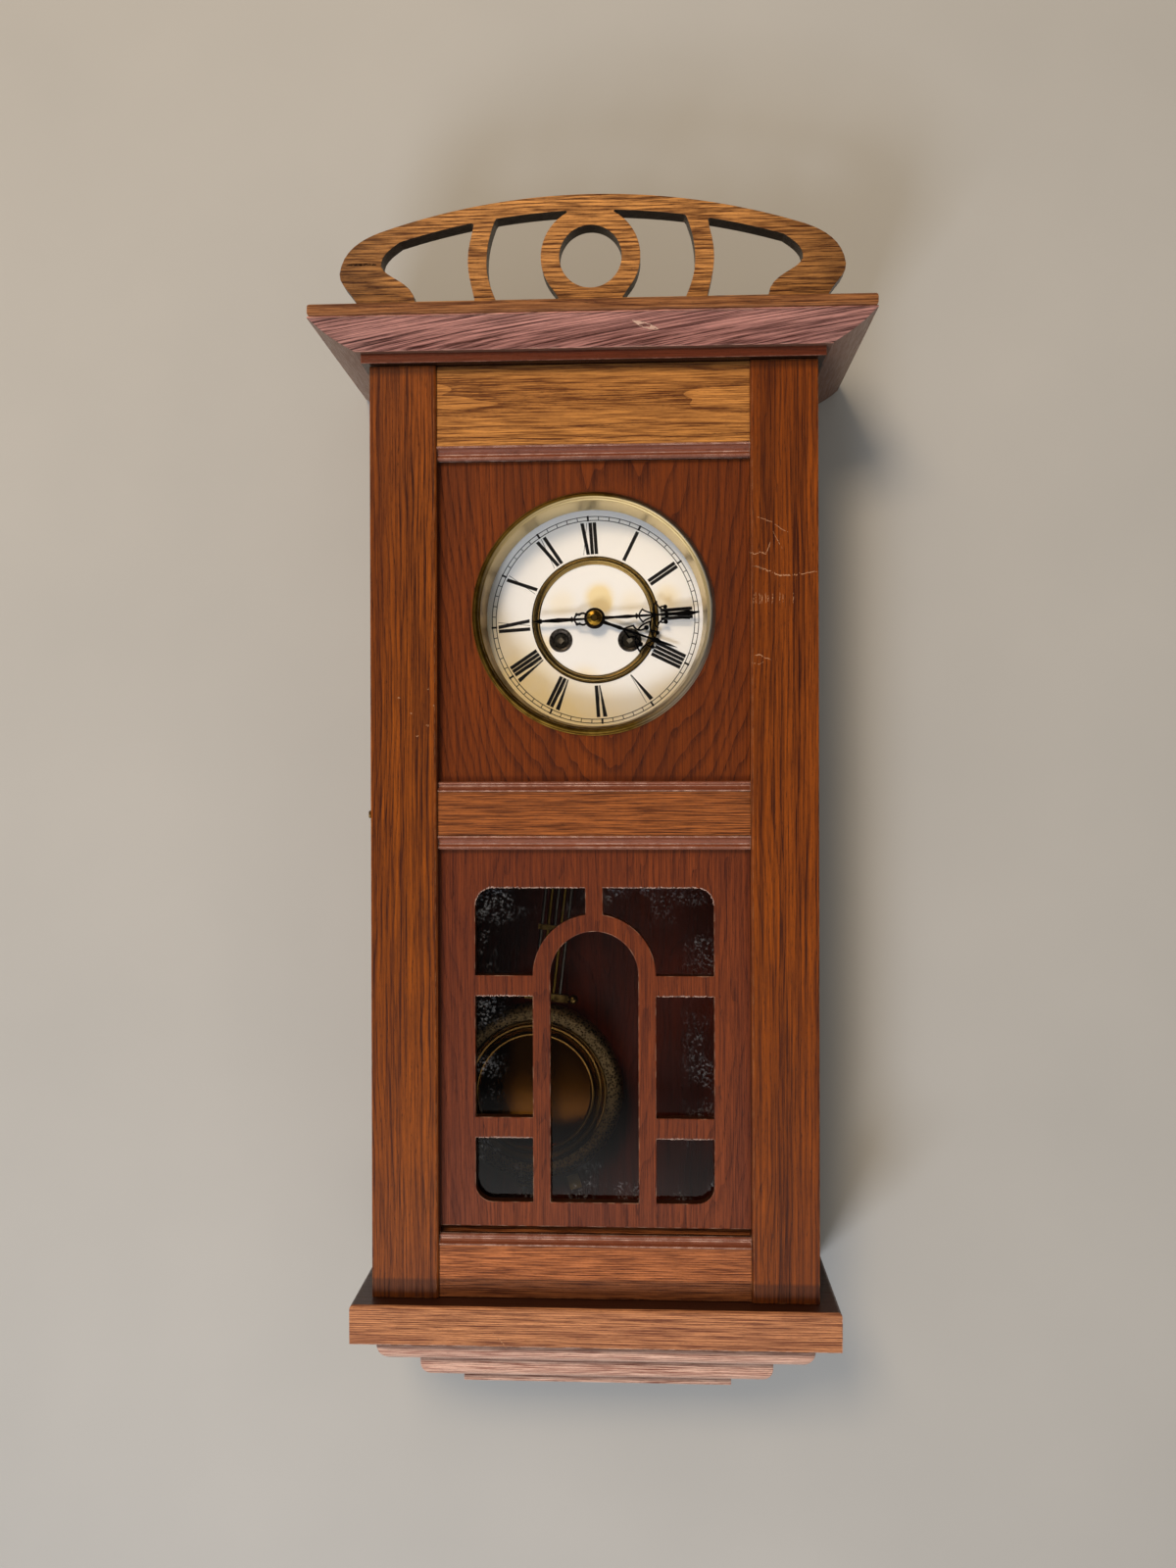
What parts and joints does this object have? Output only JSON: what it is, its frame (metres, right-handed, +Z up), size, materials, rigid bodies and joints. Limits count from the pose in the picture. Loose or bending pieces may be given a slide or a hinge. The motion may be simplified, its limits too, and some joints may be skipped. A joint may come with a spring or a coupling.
{
  "type": "wall regulator clock",
  "caption": "Oak-cased wall regulator clock with a fretted crest, hinged door, striking movement with working gears and a gridiron pendulum behind an arched fretwork window",
  "frame": {"origin": "centre of the hanging hole in the plate on the back of the case, on the wall's plane", "axes": "X to the right as seen from the front, +Y into the wall, +Z up"},
  "size_m": [0.372, 0.174, 0.8155],
  "materials": {
    "back_board": "stained oak, worn",
    "case_side_left": "stained oak, worn",
    "case_side_right": "stained oak, worn",
    "case_top": "stained oak, worn",
    "cornice_cap": "stained oak, worn",
    "cornice_moulding": "stained oak, worn",
    "crest": "stained oak, worn",
    "base_board": "stained oak, worn",
    "base_step_upper": "stained oak, worn",
    "base_step_middle": "stained oak, worn",
    "base_step_lower": "stained oak, worn",
    "hanging_plate": "dark iron",
    "case_screws": "steel",
    "case_hinge_leaves": "aged brass",
    "beat_plaque": "cream enamel",
    "door_hook": "aged brass",
    "door_stile_left": "stained oak, worn",
    "door_stile_right": "stained oak, worn",
    "door_rail_top": "stained oak, worn",
    "door_rail_middle": "stained oak, worn",
    "door_rail_bottom": "stained oak, worn",
    "rail_mouldings": "stained oak, worn",
    "upper_panel": "stained oak, worn",
    "fretted_panel": "red-brown stained wood with a worn edge",
    "window_glass": "clear glass",
    "bezel": "aged brass",
    "dial_glass": "clear glass",
    "door_fittings": "aged brass",
    "dial_plate": "sheet metal",
    "chapter_ring": "ivory enamel with stains",
    "dial_ring": "aged brass",
    "dial_centre": "ivory enamel with stains",
    "winding_eyelets": "black",
    "minute_hand": "blackened steel",
    "hour_hand": "blackened steel",
    "hand_nut": "aged brass",
    "front_plate": "aged brass",
    "back_plate": "aged brass",
    "plate_pillars": "aged brass",
    "movement_bracket": "dark iron",
    "suspension_cock": "aged brass",
    "time_barrel": "aged brass",
    "time_arbor": "steel",
    "strike_barrel": "aged brass",
    "strike_arbor": "steel",
    "centre_wheel": "aged brass",
    "third_wheel": "aged brass",
    "escape_wheel": "aged brass",
    "minute_wheel": "aged brass",
    "hour_wheel": "aged brass",
    "crutch": "steel",
    "pendulum_hook": "steel",
    "pendulum_rods": "steel and brass rods, aged",
    "pendulum_bars": "aged brass",
    "pendulum_bob": "aged brass",
    "rating_nut": "aged brass",
    "strike_wheel": "aged brass",
    "hammer": "steel",
    "gong": "blued steel",
    "gong_stand": "dark iron"
  },
  "bodies": {
    "case": {"back_board": "back_board", "case_side_left": "case_side_left", "case_side_right": "case_side_right", "case_top": "case_top", "cornice_cap": "cornice_cap", "cornice_moulding": "cornice_moulding", "crest": "crest", "base_board": "base_board", "base_step_upper": "base_step_upper", "base_step_middle": "base_step_middle", "base_step_lower": "base_step_lower", "hanging_plate": "hanging_plate", "case_screws": "case_screws", "case_hinge_leaves": "case_hinge_leaves", "beat_plaque": "beat_plaque", "dial_plate": "dial_plate", "chapter_ring": "chapter_ring", "dial_ring": "dial_ring", "dial_centre": "dial_centre", "winding_eyelets": "winding_eyelets", "front_plate": "front_plate", "back_plate": "back_plate", "plate_pillars": "plate_pillars", "movement_bracket": "movement_bracket", "suspension_cock": "suspension_cock", "gong": "gong", "gong_stand": "gong_stand"},
    "door": {"door_stile_left": "door_stile_left", "door_stile_right": "door_stile_right", "door_rail_top": "door_rail_top", "door_rail_middle": "door_rail_middle", "door_rail_bottom": "door_rail_bottom", "rail_mouldings": "rail_mouldings", "upper_panel": "upper_panel", "fretted_panel": "fretted_panel", "window_glass": "window_glass", "bezel": "bezel", "dial_glass": "dial_glass", "door_fittings": "door_fittings"},
    "side_hook": {"door_hook": "door_hook"},
    "minute_arbor": {"centre_wheel": "centre_wheel", "minute_hand": "minute_hand", "hand_nut": "hand_nut"},
    "hour_pipe": {"hour_wheel": "hour_wheel", "hour_hand": "hour_hand"},
    "minute_wheel": {"minute_wheel": "minute_wheel"},
    "third_arbor": {"third_wheel": "third_wheel"},
    "escape_arbor": {"escape_wheel": "escape_wheel"},
    "time_barrel": {"time_barrel": "time_barrel"},
    "time_arbor": {"time_arbor": "time_arbor"},
    "strike_barrel": {"strike_barrel": "strike_barrel"},
    "strike_arbor": {"strike_arbor": "strike_arbor"},
    "strike_wheel": {"strike_wheel": "strike_wheel"},
    "hammer": {"hammer": "hammer"},
    "crutch": {"crutch": "crutch"},
    "pendulum": {"pendulum_hook": "pendulum_hook", "pendulum_rods": "pendulum_rods", "pendulum_bars": "pendulum_bars", "pendulum_bob": "pendulum_bob"},
    "rating_nut": {"rating_nut": "rating_nut"}
  },
  "joints": [
    {"name": "door_hinge", "type": "hinge", "parent": "case", "child": "door", "pos_m": [0.1528, -0.11775, -0.276], "axis": [0, 0, 1], "range_deg": [0, 110]},
    {"name": "side_hook_pivot", "type": "hinge", "parent": "case", "child": "side_hook", "pos_m": [-0.15305, -0.1, -0.285], "axis": [-1, 0, 0], "range_deg": [0, 90]},
    {"name": "pendulum_swing", "type": "hinge", "parent": "case", "child": "pendulum", "pos_m": [0, -0.037, -0.08575], "axis": [0, 1, 0], "range_deg": [-14.72, 1.28]},
    {"name": "crutch_swing", "type": "hinge", "parent": "case", "child": "crutch", "pos_m": [0, -0.06, -0.08575], "axis": [0, 1, 0], "range_deg": [-14.72, 1.28]},
    {"name": "rating_nut_travel", "type": "slide", "parent": "pendulum", "child": "rating_nut", "axis": [-0.117, 0, -0.9931], "range_m": [0, 0.006]},
    {"name": "minute_arbor_spin", "type": "hinge", "parent": "case", "child": "minute_arbor", "pos_m": [0, -0.066, -0.14775], "axis": [0, -1, 0], "continuous": true},
    {"name": "hour_pipe_spin", "type": "hinge", "parent": "case", "child": "hour_pipe", "pos_m": [0, -0.095, -0.14775], "axis": [0, -1, 0], "continuous": true},
    {"name": "minute_wheel_spin", "type": "hinge", "parent": "case", "child": "minute_wheel", "pos_m": [-0.01188, -0.089, -0.13587], "axis": [0, -1, 0], "continuous": true},
    {"name": "third_arbor_spin", "type": "hinge", "parent": "case", "child": "third_arbor", "pos_m": [0.0142, -0.066, -0.12445], "axis": [0, -1, 0], "continuous": true},
    {"name": "escape_arbor_spin", "type": "hinge", "parent": "case", "child": "escape_arbor", "pos_m": [0, -0.066, -0.10475], "axis": [0, -1, 0], "continuous": true},
    {"name": "time_barrel_spin", "type": "hinge", "parent": "case", "child": "time_barrel", "pos_m": [0.0245, -0.066, -0.16215], "axis": [0, -1, 0], "continuous": true},
    {"name": "time_arbor_spin", "type": "hinge", "parent": "case", "child": "time_arbor", "pos_m": [0.0245, -0.066, -0.16215], "axis": [0, -1, 0], "continuous": true},
    {"name": "strike_barrel_spin", "type": "hinge", "parent": "case", "child": "strike_barrel", "pos_m": [-0.0245, -0.066, -0.16215], "axis": [0, -1, 0], "continuous": true},
    {"name": "strike_arbor_spin", "type": "hinge", "parent": "case", "child": "strike_arbor", "pos_m": [-0.0245, -0.066, -0.16215], "axis": [0, -1, 0], "continuous": true},
    {"name": "strike_wheel_spin", "type": "hinge", "parent": "case", "child": "strike_wheel", "pos_m": [-0.02943, -0.066, -0.13418], "axis": [0, -1, 0], "continuous": true},
    {"name": "hammer_swing", "type": "hinge", "parent": "case", "child": "hammer", "pos_m": [-0.051, -0.066, -0.13775], "axis": [0, 1, 0], "range_deg": [0, 18]}
  ],
  "couplings": [
    {"joint": "crutch_swing", "follows": "pendulum_swing", "ratio": 1},
    {"joint": "time_barrel_spin", "follows": "minute_arbor_spin", "ratio": -0.11111},
    {"joint": "third_arbor_spin", "follows": "minute_arbor_spin", "ratio": -8},
    {"joint": "escape_arbor_spin", "follows": "minute_arbor_spin", "ratio": 60},
    {"joint": "minute_wheel_spin", "follows": "minute_arbor_spin", "ratio": -0.33333},
    {"joint": "hour_pipe_spin", "follows": "minute_arbor_spin", "ratio": 0.083333},
    {"joint": "strike_wheel_spin", "follows": "strike_barrel_spin", "ratio": -9}
  ]
}
